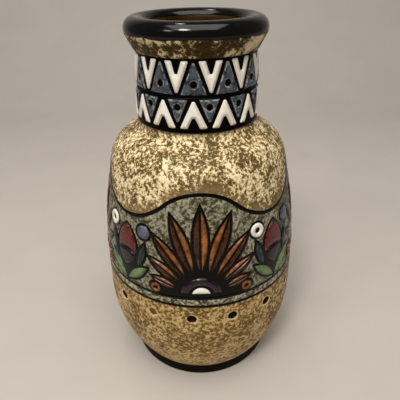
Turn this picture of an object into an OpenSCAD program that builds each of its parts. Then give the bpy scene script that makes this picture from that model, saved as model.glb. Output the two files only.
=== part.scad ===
// Earthenware vase with a rolled rim, two patterned neck bands and an enamelled frieze.
// The clay vessel is one revolved piece. Every coat of glaze lies on it as a thin shell,
// and every enamel cell sits on its coat. The front of the vase faces -Y, and Z is up.

/* [Vessel] */
// Radius of the clay at the widest part of the belly
belly_r = 63.4; // [52:0.1:78]
// Height of the widest part of the belly
belly_z = 58; // [48:0.5:70]
// Radius of the arc from the belly down to the foot
lower_arc_r = 92; // [76:1:120]
// Radius of the arc from the belly up to the shoulder
upper_arc_r = 440; // [360:5:640]
// Height where the wall starts to turn in at the shoulder
shoulder_z = 152; // [140:0.5:184]
// Radius of the turn of the shoulder
shoulder_arc_r = 22; // [18:0.5:27]
// Radius of the hollow curve between the shoulder and the neck
nape_arc_r = 8; // [6:0.5:10]
// Thickness of the clay wall
wall = 5; // [4:0.1:6.5]
// Thickness of the clay floor above the foot recess
floor_t = 6; // [4:0.5:9]

/* [Foot] */
// Height of the foot ring
foot_h = 8; // [6:0.5:10]
// How much wider the foot is at the table than at its top
foot_flare = 1; // [0:0.1:2]
// Width of the bare standing ring
foot_ring_w = 7; // [5:0.5:10]
// Depth of the hollow under the floor
foot_recess = 4; // [2:0.5:5]
// Height of bare clay left below the black foot glaze
foot_bare_h = 1; // [0.5:0.1:2]

/* [Neck and rim] */
// Radius of the clay at the bottom of the neck
neck_r = 34.7; // [30:0.1:40]
// Radius of the clay at the top of the neck
neck_top_r = 32.7; // [29:0.1:39.5]
// Height of the patterned neck
neck_h = 37.8; // [30:0.1:45]
// How far the foot of the flare stands out over the neck
flare_ledge = 1.2; // [0.4:0.1:1.6]
// Height from the top of the neck to the middle of the rolled rim
flare_h = 10.6; // [9:0.1:13]
// Radius of the rolled rim in section
rim_roll_r = 5.5; // [4.5:0.1:6.6]
// How far below the middle of the roll the black glaze stops, as an angle
rim_glaze_angle = 16; // [5:1:24]
// How far above the middle of the roll the black glaze stops in the mouth, as an angle
mouth_glaze_angle = 25; // [5:1:45]

/* [Glaze] */
// Thickness of every outer coat of glaze
glaze_t = 0.8; // [0.5:0.1:1.2]
// Thickness of the glaze that lines the inside
lining_t = 0.6; // [0.4:0.1:1]
// Height of the enamel cells above their coat
enamel_t = 0.9; // [0.6:0.1:1.3]

/* [Pits] */
// Number of pits in the row below the border
pit_count = 16; // [12:1:20]
// Height of the row of pits
pit_z = 68.5; // [64:0.5:70]
// Diameter of a pit
pit_d = 5.8; // [4:0.1:7]
// Depth of a pit in the clay
pit_depth = 1.6; // [0.8:0.1:2.4]
// Thickness of the dark glaze at the bottom of a pit
pit_glaze_t = 0.3; // [0.2:0.05:0.4]
// Turn of the row of pits around the vase
pit_turn = -5.4; // [-11:0.1:11]

/* [Border] */
// Height of the lower edge of the border
border_z = 77.6; // [76:0.1:86]
// Height of the black lines of the border
border_line_h = 1.8; // [1:0.1:2]
// Height of the pale strip between the lines
border_strip_h = 4; // [3:0.1:6]

/* [Neck pattern] */
// Number of repeats in the upper row
upper_count = 12; // [10:1:13]
// Number of repeats in the lower row
lower_count = 13; // [11:1:14]
// Turn of the upper row around the vase
upper_turn = -3.2; // [-15:0.1:15]
// Turn of the lower row around the vase
lower_turn = -3.7; // [-15:0.1:15]
// Margin of black above the upper row
neck_margin = 1.2; // [0.6:0.1:2]
// Margin of black below the lower row
neck_foot_margin = 2.5; // [1:0.1:3]
// Height of the black groove between the two rows
neck_groove_h = 2.2; // [1.5:0.1:3]
// Half the width of the cut-off tip of a cell
neck_tip_w = 0.7; // [0.4:0.1:1]
// Distance of the tip of a chevron from the groove
chevron_tip_gap = 1; // [0.5:0.1:2]
// Black between the tops of neighbouring upper chevrons
upper_chevron_gap = 5.8; // [5:0.1:7]
// Width of the black notch in an upper chevron
upper_notch_w = 5.2; // [3:0.1:6]
// Height of the black notch in an upper chevron
upper_notch_h = 6.4; // [4:0.1:8]
// Black between the feet of neighbouring upper triangles
upper_triangle_gap = 4.6; // [4:0.1:6]
// Distance of the tip of an upper triangle from the top of its row
upper_triangle_tip_gap = 0.7; // [0.5:0.1:2]
// Black between the feet of neighbouring lower chevrons
lower_chevron_gap = 2.2; // [2:0.1:5]
// Width of the black notch in a lower chevron
lower_notch_w = 6.8; // [4:0.1:7]
// Height of the black notch in a lower chevron
lower_notch_h = 5.6; // [3:0.1:6]
// Black between the tops of neighbouring lower triangles
lower_triangle_gap = 6.1; // [5:0.1:7]
// Distance of the tip of a lower triangle from the foot of its row
lower_triangle_tip_gap = 3.4; // [2.4:0.1:5]
// Diameter of the dimple in a triangle
dimple_d = 3.4; // [2.4:0.1:4]

/* [Frieze] */
// Number of fans around the vase
fan_count = 4; // [4:1:5]
// Turn of the frieze around the vase
frieze_turn = 0; // [-45:1:45]
// Distance of the crest of the wavy outline below the turn of the shoulder
frieze_drop = 2; // [1:0.5:6]
// Height of the wavy outline from trough to crest
wave_rise = 18; // [10:0.5:22]
// Width of the wavy outline
wave_line_w = 2; // [1:0.1:2.6]
// Width of the black outline around every motif
outline_w = 1.5; // [1:0.1:1.6]
// Width of the black vein in the middle of a leaf
vein_w = 1; // [0.6:0.1:1.4]

/* [Fan] */
// Leaves on each side of the middle leaf
fan_side_leaves = 4; // [3:1:4]
// Angle between neighbouring leaves
fan_step = 18; // [16:0.5:18]
// Distance of the inner leaf ends from the foot of the fan
fan_inner_r = 16; // [14.5:0.5:18]
// Reach of a leaf that lies flat
fan_short_r = 28; // [26:0.5:30]
// Extra reach of the upright leaf
fan_extra_r = 28; // [22:0.5:29]
// Outer radius of the cup at the foot of the fan
cup_r = 12.4; // [11:0.1:12.6]
// Width of the cup
cup_w = 5; // [4:0.1:5.4]
// Radius of the white eye in the cup
eye_r = 5.6; // [4:0.1:6]

/* [Bud] */
// Height of a bud
bud_h = 29; // [25:0.5:30]
// Width of a bud
bud_w = 16.5; // [13:0.5:17]
// Height of the foot of a bud above the border
bud_lift = 11.5; // [10:0.5:12]
// Radius of the rounded top of the calyx
calyx_r = 13; // [11:0.5:14]
// Width of the stem
stem_w = 1.8; // [1.2:0.1:2.4]
// Length of a low leaf
low_leaf_l = 20; // [17:0.5:21]
// Width of a low leaf
low_leaf_w = 6; // [5:0.1:6.4]
// Length of a side leaf
side_leaf_l = 17; // [14:0.5:18]
// Width of a side leaf
side_leaf_w = 4.8; // [4:0.1:5.2]

/* [Roundels] */
// Radius of the white ring and of the slate disc beside a bud
roundel_r = 4.4; // [3.4:0.1:4.6]
// Radius of the ochre ring beside a fan
small_ring_r = 3.1; // [2.4:0.1:3.2]
// Hole of a ring as a share of its radius
ring_hole_share = 0.42; // [0.3:0.02:0.55]

/* [Hidden] */
$fn = 96;

// Room for cutting shapes that pass through a wall
far = 120;

// Wall arcs, written once for clay, coats and lining
// Each arc stands out this much where it runs into the next, so that no step is left there
seam = 0.01;
lower_c = [belly_r - lower_arc_r, belly_z];
upper_c = [belly_r - upper_arc_r, belly_z];
shoulder_a = asin((shoulder_z - belly_z) / upper_arc_r);
// The turn of the shoulder grows where a wide belly would leave it no room beside the neck
shoulder_room = (neck_r + nape_arc_r - 2 - upper_c.x) / cos(shoulder_a);
shoulder_r = max(shoulder_arc_r, upper_arc_r - shoulder_room);
shoulder_c = upper_c
    + (upper_arc_r - shoulder_r + seam) * [cos(shoulder_a), sin(shoulder_a)];
nape_x = neck_r + nape_arc_r - seam;
turn_gap = shoulder_r + nape_arc_r - seam;
nape_c = [nape_x, shoulder_c.y + sqrt(turn_gap * turn_gap - pow(nape_x - shoulder_c.x, 2))];
nape_a = atan2(nape_c.y - shoulder_c.y, nape_c.x - shoulder_c.x);
function shoulder_start(grow) = upper_c.y + (upper_arc_r + grow) * sin(shoulder_a);
function nape_start(grow) = shoulder_c.y + (shoulder_r + grow) * sin(nape_a);
function wall_r(z, grow) = upper_c.x + sqrt(pow(upper_arc_r + grow, 2) - pow(z - upper_c.y, 2));
function belly_low_r(z, grow) =
    lower_c.x + sqrt(pow(lower_arc_r + grow, 2) - pow(z - lower_c.y, 2));

// Foot and floor
foot_r = belly_low_r(foot_h, 0);
floor_z = foot_recess + floor_t;

// Neck and rim
neck_z = nape_c.y;
neck_top_z = neck_z + neck_h;
bore_r = neck_top_r - wall;
rim_r = bore_r + rim_roll_r;
rim_z = neck_top_z + flare_h;
flare_foot_r = neck_top_r + flare_ledge;
flare_reach = norm([flare_foot_r - rim_r, flare_h]);
flare_a = atan2(-flare_h, flare_foot_r - rim_r) + acos(rim_roll_r / flare_reach);
function on_roll(radius, angle) = [rim_r + radius * cos(angle), rim_z + radius * sin(angle)];

// Neck pattern
neck_mid_r = (neck_r + neck_top_r) / 2 + glaze_t + enamel_t;
upper_pitch = 2 * PI * neck_mid_r / upper_count;
lower_pitch = 2 * PI * neck_mid_r / lower_count;
groove_z = neck_z + neck_h / 2;
upper_row_z = groove_z + neck_groove_h / 2;
upper_row_top = neck_top_z - neck_margin;
lower_row_z = neck_z + neck_foot_margin;
lower_row_top = groove_z - neck_groove_h / 2;
upper_row_h = upper_row_top - upper_row_z;
lower_row_h = lower_row_top - lower_row_z;

// Frieze panel and wavy outline
panel_z = border_z + 2 * border_line_h + border_strip_h;
crest_z = shoulder_z - frieze_drop;
wave_half_a = 90 / fan_count;
wave_half_w = (wall_r(crest_z - wave_rise / 2, glaze_t)) * sin(wave_half_a);
wave_r = (pow(wave_half_w, 2) + pow(wave_rise / 2, 2)) / wave_rise;
fan_wave_z = crest_z - wave_r;
bud_wave_z = crest_z - wave_rise + wave_r;

// Motifs are drawn for a panel of this width and height, then fitted to the real panel
drawn_w = 97.5;
drawn_h = 66.1;
panel_w = 2 * PI * wall_r((panel_z + crest_z) / 2, glaze_t) / fan_count;
motif_fit = min(panel_w / drawn_w, (crest_z - panel_z) / drawn_h);
fan_foot = 2;
cup_base = 1.2;
stalk_fill_r = 9;
function leaf_reach(i) = fan_short_r + fan_extra_r * pow(cos(i * fan_step), 2);
function leaf_length(i) = leaf_reach(i) - fan_inner_r;
function leaf_width(i) = 3 + 0.135 * leaf_length(i);
function lens_r(l, w) = (l * l + w * w) / (4 * w);

// Flat outlines of the wall
// Neighbouring pieces of an outline reach a little into each other, so that they join as one.

lap = 1;

// Disc filled in to the axis and kept between two heights
module slice_of_disc(centre, radius, low, high) {
    intersection() {
        union() {
            translate(centre) circle(radius, $fn = 256);
            if (centre.x > 0) translate([0, low]) square([centre.x, high - low]);
        }
        translate([0, low]) square([far, high - low]);
    }
}

// Vessel from the axis out to the wall, moved out by grow, from a height up to the neck
module vessel_outline(grow, low) {
    slice_of_disc(lower_c, lower_arc_r + grow, low, belly_z + lap);
    slice_of_disc(upper_c, upper_arc_r + grow, belly_z, shoulder_start(grow));
    slice_of_disc(shoulder_c, shoulder_r + grow,
        shoulder_start(grow) - lap, nape_start(grow) + lap);
    difference() {
        translate([0, nape_start(grow)]) square([nape_x, neck_z - nape_start(grow)]);
        translate(nape_c) circle(nape_arc_r - grow);
    }
}

// Neck from the axis out to its slightly tapered wall, carried on straight to a height
module neck_outline(grow, high) {
    polygon([[0, neck_z - lap], [neck_r + grow, neck_z - lap], [neck_r + grow, neck_z],
        [neck_top_r + grow, neck_top_z], [neck_top_r + grow, high], [0, high]]);
}

// Flare and rolled rim from the axis out, moved out by grow
module flare_outline(grow) {
    polygon([[0, neck_top_z - lap], [neck_top_r, neck_top_z - lap], [neck_top_r, neck_top_z],
        [flare_foot_r + grow * cos(flare_a), neck_top_z + grow * sin(flare_a)],
        on_roll(rim_roll_r + grow, flare_a), [rim_r, rim_z], [0, rim_z]]);
    translate([rim_r, rim_z]) circle(rim_roll_r + grow);
}

// Hollow of the vase, moved out by grow, from a floor to a height in the mouth
module hollow_outline(grow, low, high) {
    vessel_outline(grow, low);
    neck_outline(grow, high);
}

// Foot between two heights, moved out by grow
module foot_outline(grow, low) {
    slope = foot_flare / foot_h;
    polygon([[0, low], [foot_r + foot_flare - slope * low + grow, low],
        [foot_r + grow, foot_h], [0, foot_h]]);
}

// Everything between two heights
module layer(low, high) {
    translate([0, low]) square([far, high - low]);
}

// Shell between two distances from the clay wall, kept between two heights
module wall_shell(inner, outer, low, high) {
    rotate_extrude($fn = 256) intersection() {
        difference() {
            vessel_outline(outer, foot_h);
            vessel_outline(inner, foot_h);
        }
        layer(low, high);
    }
}

// Wedge seen from the rolled rim's centre between two angles of less than half a turn
module rim_sector(from, to) {
    mid = (from + to) / 2;
    polygon([[rim_r, rim_z], on_roll(far, from), on_roll(2 * far, mid), on_roll(far, to)]);
}

// Ring of glaze round the rolled rim between two angles
module roll_coat(from, to, thick) {
    intersection() {
        difference() {
            translate([rim_r, rim_z]) circle(rim_roll_r + thick);
            translate([rim_r, rim_z]) circle(rim_roll_r);
        }
        rim_sector(from, to);
    }
}

// Flat outlines of the neck cells

// Chevron standing on its tip at the origin
module chevron(w, h, notch_w, notch_h) {
    polygon([[-neck_tip_w, 0], [neck_tip_w, 0], [w / 2, h], [notch_w / 2, h],
        [neck_tip_w, h - notch_h], [-neck_tip_w, h - notch_h], [-notch_w / 2, h], [-w / 2, h]]);
}

// Triangle standing on its base at the origin, with a dimple
module dimpled_triangle(w, h) {
    difference() {
        polygon([[-w / 2, 0], [w / 2, 0], [neck_tip_w, h], [-neck_tip_w, h]]);
        translate([0, h / 3]) circle(d = dimple_d, $fn = 32);
    }
}

// Flat outlines of the frieze motifs

// Pointed leaf along Y, centred, moved out by grow
module lens(l, w, grow = 0) {
    offset_x = lens_r(l, w) - w / 2;
    intersection() {
        translate([-offset_x, 0]) circle(lens_r(l, w) + grow);
        translate([offset_x, 0]) circle(lens_r(l, w) + grow);
    }
}

// One half of a veined leaf, on the side of the sign
module half_lens(l, w, side) {
    intersection() {
        lens(l, w);
        translate([side > 0 ? vein_w / 2 : -vein_w / 2 - w, -l]) square([w, 2 * l]);
    }
}

// Children set at leaf number i of a fan
module at_leaf(i) {
    translate([0, fan_foot]) rotate(-i * fan_step)
        translate([0, fan_inner_r + leaf_length(i) / 2]) children();
}

// Halves of all leaves of a fan, the upper ones or the lower ones
module fan_halves(upper) {
    for (i = [-fan_side_leaves : fan_side_leaves]) {
        leans = i > 0 ? -1 : 1;
        at_leaf(i) half_lens(leaf_length(i), leaf_width(i), upper ? leans : -leans);
    }
}

// Half disc standing on the foot of a fan
module half_disc(radius, grow = 0) {
    intersection() {
        translate([0, fan_foot]) circle(radius + grow);
        translate([-far, cup_base + fan_foot - grow]) square([2 * far, far]);
    }
}

module cup() {
    difference() {
        half_disc(cup_r);
        translate([0, fan_foot]) circle(cup_r - cup_w);
    }
}

// Black ground under a whole fan
module fan_ground() {
    intersection() {
        translate([0, fan_foot]) circle(fan_inner_r + 11);
        translate([-far, -1]) square([2 * far, far]);
    }
    for (i = [-fan_side_leaves : fan_side_leaves])
        at_leaf(i) lens(leaf_length(i), leaf_width(i), outline_w);
    for (side = [-1, 1]) at_small_ring(side) circle(small_ring_r + outline_w);
}

module at_small_ring(side) {
    translate([side * (fan_short_r - 0.5), small_ring_r + 1.3]) children();
}

module ring(radius) {
    difference() {
        circle(radius);
        circle(radius * ring_hole_share, $fn = 48);
    }
}

module at_bud() {
    translate([0, bud_lift + bud_h / 2]) children();
}

module calyx_disc(grow = 0) {
    translate([0, bud_lift + bud_h * 0.42 - calyx_r]) circle(calyx_r + grow);
}

module bud_calyx() {
    intersection() {
        at_bud() lens(bud_h, bud_w);
        calyx_disc();
    }
}

module bud_petal() {
    difference() {
        at_bud() lens(bud_h, bud_w);
        calyx_disc(vein_w);
    }
}

module at_low_leaf(side) {
    translate([side * 8.6, 8.8]) rotate(-side * 50) children();
}

module at_side_leaf(side) {
    translate([side * 12, 22.6]) rotate(-side * 14) children();
}

module at_roundel(side) {
    translate([side * 13.2, 39]) children();
}

// Black ground under a whole bud with its leaves and roundels
module bud_ground() {
    translate([-stem_w / 2, -1]) square([stem_w, bud_lift + 3]);
    translate([0, bud_lift + 3]) circle(stalk_fill_r);
    at_bud() lens(bud_h, bud_w, outline_w);
    for (side = [-1, 1]) {
        at_low_leaf(side) lens(low_leaf_l, low_leaf_w, outline_w);
        at_side_leaf(side) lens(side_leaf_l, side_leaf_w, outline_w);
        at_roundel(side) circle(roundel_r + outline_w);
        side_leaf_stalk(side);
    }
}

// Black stalk from the stem to a side leaf
module side_leaf_stalk(side) {
    translate([0, 6]) rotate(-side * 44) translate([-stem_w / 2, 0]) square([stem_w, 13]);
}

// Placing flat outlines on the wall

// Children pushed outward as a prism at an angle round the vase and a height
module stamp(angle, z, near = 20) {
    rotate([0, 0, angle]) translate([0, 0, z]) rotate([90, 0, 0])
        translate([0, 0, near]) linear_extrude(far - near) children();
}

module stamp_fans() {
    for (k = [0 : fan_count - 1])
        stamp(frieze_turn + k * 360 / fan_count, panel_z) scale(motif_fit) children();
}

module stamp_buds() {
    for (k = [0 : fan_count - 1])
        stamp(frieze_turn + (k + 0.5) * 360 / fan_count, panel_z) scale(motif_fit) children();
}

// Wall of the vase from one height of coat to another, where the frieze is
module frieze_shell(inner, outer) {
    wall_shell(inner, outer, panel_z, crest_z + 1);
}

// Sector of the vase around an angle, half a repeat of the frieze wide and a little over,
// so that neighbouring sectors leave no sliver between them
module wave_sector(angle) {
    half_a = wave_half_a + 0.4;
    reach = far / cos(half_a);
    rotate([0, 0, angle]) translate([0, 0, panel_z - 1]) linear_extrude(crest_z - panel_z + 20)
        polygon([[0, 0], [-reach * sin(half_a), -far], [reach * sin(half_a), -far]]);
}

// Flat strip of the panel from its foot to a height
module panel_strip(low, high) {
    translate([-far, low]) square([2 * far, high - low]);
}

// Discs that shape the wavy outline over a fan and over a bud, with the outline moved up by lift
module fan_wave_disc(lift) {
    translate([0, fan_wave_z]) circle(wave_r + lift, $fn = 192);
}

module bud_wave_disc(lift) {
    translate([0, bud_wave_z]) circle(wave_r - lift, $fn = 192);
}

// First child cut to every fan's sector and second child to every bud's sector
module stamp_wave() {
    for (k = [0 : fan_count - 1]) {
        fan_angle = frieze_turn + k * 360 / fan_count;
        bud_angle = fan_angle + 180 / fan_count;
        intersection() {
            wave_sector(fan_angle);
            stamp(fan_angle, 0) children(0);
        }
        intersection() {
            wave_sector(bud_angle);
            stamp(bud_angle, 0) children(1);
        }
    }
}

// Everything below the wavy outline, with the outline moved up by lift
module below_wave(lift) {
    stamp_wave() {
        union() {
            fan_wave_disc(lift);
            panel_strip(panel_z - 1, fan_wave_z);
        }
        difference() {
            panel_strip(panel_z - 1, bud_wave_z);
            bud_wave_disc(lift);
        }
    }
}

// Everything above the wavy outline, with the outline moved up by lift
module above_wave(lift) {
    stamp_wave() {
        difference() {
            panel_strip(fan_wave_z, crest_z + wave_rise);
            fan_wave_disc(lift);
        }
        union() {
            bud_wave_disc(lift);
            panel_strip(bud_wave_z, crest_z + wave_rise);
        }
    }
}

// Shell of the neck from one height of coat to another
module neck_shell(inner, outer) {
    rotate_extrude($fn = 192) intersection() {
        difference() {
            neck_outline(outer, neck_top_z);
            neck_outline(inner, neck_top_z);
        }
        layer(neck_z, neck_top_z);
    }
}

// Row of neck cells, with the origin of the children at a height
module neck_row(count, turn, z) {
    intersection() {
        neck_shell(glaze_t, glaze_t + enamel_t);
        for (k = [0 : count - 1]) stamp(turn + k * 360 / count, z, 15) children();
    }
}

// Sub-parts

module clay_body() {
    color("#c9a77c") difference() {
        rotate_extrude($fn = 256) difference() {
            union() {
                foot_outline(0, 0);
                vessel_outline(0, foot_h - lap);
                neck_outline(0, neck_top_z);
                flare_outline(0);
            }
            hollow_outline(-wall, floor_z, rim_z);
            square([foot_r + foot_flare - foot_ring_w, foot_recess]);
        }
        pit_layer(-pit_depth, lap);
    }
}

// Layer of all pits between two distances from the clay wall
module pit_layer(inner, outer) {
    intersection() {
        wall_shell(inner, outer, foot_h, border_z);
        pit_prisms(near = 20);
    }
}

module lining_glaze() {
    color("#8a6234") rotate_extrude($fn = 256) {
        difference() {
            hollow_outline(-wall, floor_z, rim_z);
            hollow_outline(-wall - lining_t, floor_z + lining_t, rim_z + lap);
        }
        roll_coat(180 - mouth_glaze_angle, 180, lining_t);
    }
}

module rim_glaze() {
    color("#0c0b0b") rotate_extrude($fn = 192) {
        roll_coat(-rim_glaze_angle, 82, glaze_t);
        roll_coat(82, 180 - mouth_glaze_angle, glaze_t);
    }
}

module flare_glaze() {
    color("#9b7a46") rotate_extrude($fn = 192) intersection() {
        difference() {
            flare_outline(glaze_t);
            flare_outline(0);
        }
        rim_sector(-89.9, -rim_glaze_angle);
        layer(neck_top_z, rim_z);
    }
}

module shoulder_glaze() {
    color("#cdb079") difference() {
        wall_shell(0, glaze_t, panel_z, neck_z);
        below_wave(0);
    }
}

module base_glaze() {
    color("#a98a5a") difference() {
        wall_shell(0, glaze_t, foot_h, border_z);
        pit_prisms(near = 20);
    }
}

// Round prisms at the row of pits
module pit_prisms(near) {
    for (k = [0 : pit_count - 1])
        stamp(pit_turn + k * 360 / pit_count, pit_z, near) circle(d = pit_d, $fn = 48);
}

module pit_glaze() {
    color("#2a1d12") pit_layer(-pit_depth, pit_glaze_t - pit_depth);
}

module foot_glaze() {
    color("#0e0d0d") rotate_extrude($fn = 256) difference() {
        foot_outline(glaze_t, foot_bare_h);
        foot_outline(0, foot_bare_h);
    }
}

module neck_ground() {
    color("#17151a") difference() {
        neck_shell(0, glaze_t);
        rotate_extrude($fn = 192) translate([neck_mid_r - enamel_t + neck_groove_h / 4, groove_z])
            circle(neck_groove_h / 2, $fn = 32);
    }
}

module upper_chevrons() {
    color("#eee6d6") neck_row(upper_count, upper_turn + 180 / upper_count, upper_row_z + chevron_tip_gap)
        chevron(upper_pitch - upper_chevron_gap, upper_row_h - chevron_tip_gap,
            upper_notch_w, upper_notch_h);
}

module upper_triangles() {
    color("#47515f") neck_row(upper_count, upper_turn, upper_row_z)
        dimpled_triangle(upper_pitch - upper_triangle_gap, upper_row_h - upper_triangle_tip_gap);
}

module lower_chevrons() {
    color("#eee6d6") neck_row(lower_count, lower_turn, lower_row_top - chevron_tip_gap)
        mirror([0, 1]) chevron(lower_pitch - lower_chevron_gap, lower_row_h - chevron_tip_gap,
            lower_notch_w, lower_notch_h);
}

module lower_triangles() {
    color("#47515f") neck_row(lower_count, lower_turn + 180 / lower_count, lower_row_top)
        mirror([0, 1]) dimpled_triangle(lower_pitch - lower_triangle_gap,
            lower_row_h - lower_triangle_tip_gap);
}

module wave_line() {
    color("#141214") difference() {
        frieze_shell(0, glaze_t);
        below_wave(-wave_line_w);
        above_wave(0);
    }
}

module frieze_ground() {
    color("#96917f") difference() {
        frieze_shell(0, glaze_t);
        above_wave(-wave_line_w);
        stamp_fans() fan_ground();
        stamp_buds() bud_ground();
    }
}

module motif_grounds() {
    color("#141214") intersection() {
        frieze_shell(0, glaze_t);
        union() {
            stamp_fans() fan_ground();
            stamp_buds() bud_ground();
        }
    }
}

// Shell in which every enamel cell of the frieze stands
module enamel_shell() {
    frieze_shell(glaze_t, glaze_t + enamel_t);
}

module fan_leaves_ochre() {
    color("#c8823c") intersection() {
        enamel_shell();
        stamp_fans() fan_halves(true);
    }
}

module fan_leaves_rust() {
    color("#6a2f10") intersection() {
        enamel_shell();
        stamp_fans() fan_halves(false);
    }
}

module fan_cups() {
    color("#2a1f2b") intersection() {
        enamel_shell();
        stamp_fans() cup();
    }
}

module fan_eyes() {
    color("#efe8dc") intersection() {
        enamel_shell();
        stamp_fans() half_disc(eye_r);
    }
}

module bud_petals() {
    color("#7a2420") intersection() {
        enamel_shell();
        stamp_buds() bud_petal();
    }
}

module bud_calyxes() {
    color("#2f2430") intersection() {
        enamel_shell();
        stamp_buds() bud_calyx();
    }
}

module low_leaves() {
    color("#8fae7c") intersection() {
        enamel_shell();
        stamp_buds() for (side = [-1, 1]) at_low_leaf(side) lens(low_leaf_l, low_leaf_w);
    }
}

module side_leaves() {
    color("#24383a") intersection() {
        enamel_shell();
        stamp_buds() for (side = [-1, 1]) at_side_leaf(side) lens(side_leaf_l, side_leaf_w);
    }
}

module white_rings() {
    color("#efe8dc") intersection() {
        enamel_shell();
        stamp_buds() at_roundel(-1) ring(roundel_r);
    }
}

module slate_discs() {
    color("#666a7c") intersection() {
        enamel_shell();
        stamp_buds() at_roundel(1) circle(roundel_r);
    }
}

module ochre_rings() {
    color("#c8823c") intersection() {
        enamel_shell();
        stamp_fans() for (side = [-1, 1]) at_small_ring(side) ring(small_ring_r);
    }
}

module border_lines() {
    color("#141214") {
        wall_shell(0, glaze_t, border_z, border_z + border_line_h);
        wall_shell(0, glaze_t, panel_z - border_line_h, panel_z);
    }
}

module border_strip() {
    color("#b9b09a") wall_shell(0, glaze_t, border_z + border_line_h, panel_z - border_line_h);
}

clay_body();
lining_glaze();
rim_glaze();
flare_glaze();
shoulder_glaze();
base_glaze();
pit_glaze();
foot_glaze();
neck_ground();
upper_chevrons();
upper_triangles();
lower_chevrons();
lower_triangles();
wave_line();
frieze_ground();
motif_grounds();
fan_leaves_ochre();
fan_leaves_rust();
fan_cups();
fan_eyes();
bud_petals();
bud_calyxes();
low_leaves();
side_leaves();
white_rings();
slate_discs();
ochre_rings();
border_lines();
border_strip();
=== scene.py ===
# %% [markdown]
# A glazed vase, dressed in Blender. The imported CAD model gives every size and place. It is a
# thrown earthenware vessel with a rolled black rim, two rows of raised triangles and chevrons round
# the neck, a sponged cream glaze, and a frieze of raised enamel cells between black outlines.
# The frame comes in first. The looks may not make the vase any bigger.

import math

import bpy
import numpy as np
from mathutils import Matrix, Vector


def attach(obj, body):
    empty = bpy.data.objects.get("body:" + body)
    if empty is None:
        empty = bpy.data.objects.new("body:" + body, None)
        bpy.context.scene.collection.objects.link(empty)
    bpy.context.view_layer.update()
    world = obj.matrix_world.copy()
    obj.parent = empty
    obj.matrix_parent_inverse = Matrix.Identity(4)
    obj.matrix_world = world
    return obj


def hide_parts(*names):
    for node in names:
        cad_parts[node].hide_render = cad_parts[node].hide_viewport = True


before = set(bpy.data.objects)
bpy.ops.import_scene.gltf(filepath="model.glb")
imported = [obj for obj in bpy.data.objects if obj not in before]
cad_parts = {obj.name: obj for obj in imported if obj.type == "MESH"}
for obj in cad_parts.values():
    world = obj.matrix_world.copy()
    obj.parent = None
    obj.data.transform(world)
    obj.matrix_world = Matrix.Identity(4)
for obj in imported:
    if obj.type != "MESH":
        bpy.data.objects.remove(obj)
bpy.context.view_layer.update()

# %% [markdown]
# The wall of the vase is four arcs that run into each other: belly to foot, belly to shoulder, the turn
# of the shoulder and the hollow under the neck. Their sizes are those of the CAD model, and the rest
# follows from the places where two arcs touch.

# %% Sizes of the wall
MM = 0.001
BELLY_R = 63.4 * MM
BELLY_Z = 58 * MM
LOWER_ARC = 92 * MM
UPPER_ARC = 440 * MM
SHOULDER_Z = 152 * MM
SHOULDER_ARC = 22 * MM
NAPE_ARC = 8 * MM
NECK_R = 34.7 * MM
GLAZE = 0.8 * MM
LOWER_C = (BELLY_R - LOWER_ARC, BELLY_Z)
UPPER_C = (BELLY_R - UPPER_ARC, BELLY_Z)
SHOULDER_A = math.asin((SHOULDER_Z - BELLY_Z) / UPPER_ARC)
SHOULDER_C = (UPPER_C[0] + (UPPER_ARC - SHOULDER_ARC) * math.cos(SHOULDER_A),
              UPPER_C[1] + (UPPER_ARC - SHOULDER_ARC) * math.sin(SHOULDER_A))
NAPE_X = NECK_R + NAPE_ARC
NECK_Z = SHOULDER_C[1] + math.sqrt((SHOULDER_ARC + NAPE_ARC) ** 2 - (NAPE_X - SHOULDER_C[0]) ** 2)
NAPE_A = math.atan2(NECK_Z - SHOULDER_C[1], NAPE_X - SHOULDER_C[0])
print("neck starts at", round(NECK_Z / MM, 2), "mm")

# %% [markdown]
# Every coat of glaze follows the arcs at its own distance from the clay. Writing them once, and asking
# for points on them, keeps all coats in step. Tracing the CAD mesh would tie the looks to its facets.


# %% Points on the wall
def arc_points(centre, radius, start, end, count):
    """Points along an arc, in a number of equal steps."""
    turns = [start + (end - start) * i / count for i in range(count + 1)]
    return [(centre[0] + radius * math.cos(a), centre[1] + radius * math.sin(a)) for a in turns]


def arc(centre, radius, start, end, step):
    """Points along an arc, about one step apart."""
    count = max(2, round(abs(end - start) * radius / step))
    return arc_points(centre, radius, start, end, count)


def wall_r(z, out):
    """Radius at a height, at a distance out from the clay, up to the turn of the shoulder."""
    centre, radius = (LOWER_C, LOWER_ARC) if z < BELLY_Z else (UPPER_C, UPPER_ARC)
    return centre[0] + math.sqrt((radius + out) ** 2 - (z - BELLY_Z) ** 2)


def wall_line(out, low, high, step):
    """Points up the wall between two heights, at a distance out from the clay."""
    turn_z = BELLY_Z + (UPPER_ARC + out) * math.sin(SHOULDER_A)
    line = []
    for centre, radius, start, end in ((LOWER_C, LOWER_ARC, low, min(high, BELLY_Z)),
                                       (UPPER_C, UPPER_ARC, max(low, BELLY_Z), min(high, turn_z))):
        if start < end:
            angles = [math.asin((z - BELLY_Z) / (radius + out)) for z in (start, end)]
            line += arc(centre, radius + out, *angles, step)
    if high > turn_z:
        line += arc(SHOULDER_C, SHOULDER_ARC + out, SHOULDER_A, NAPE_A, step)
        line += arc((NAPE_X, NECK_Z), NAPE_ARC - out, NAPE_A + math.pi, math.pi, step)
    return [p for k, p in enumerate(line) if k == 0 or math.dist(p, line[k - 1]) > 1e-6]


print("belly", round(wall_r(BELLY_Z, GLAZE) / MM, 2), "mm")

# %% [markdown]
# Blender's operators act on whatever is selected, and the frame arrives selected. So each step clears
# the selection first. A closed outline starts as a circle primitive whose vertices are moved on to the
# outline, and a coat is that outline spun round the axis of the vase, as on a potter's wheel.


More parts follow.
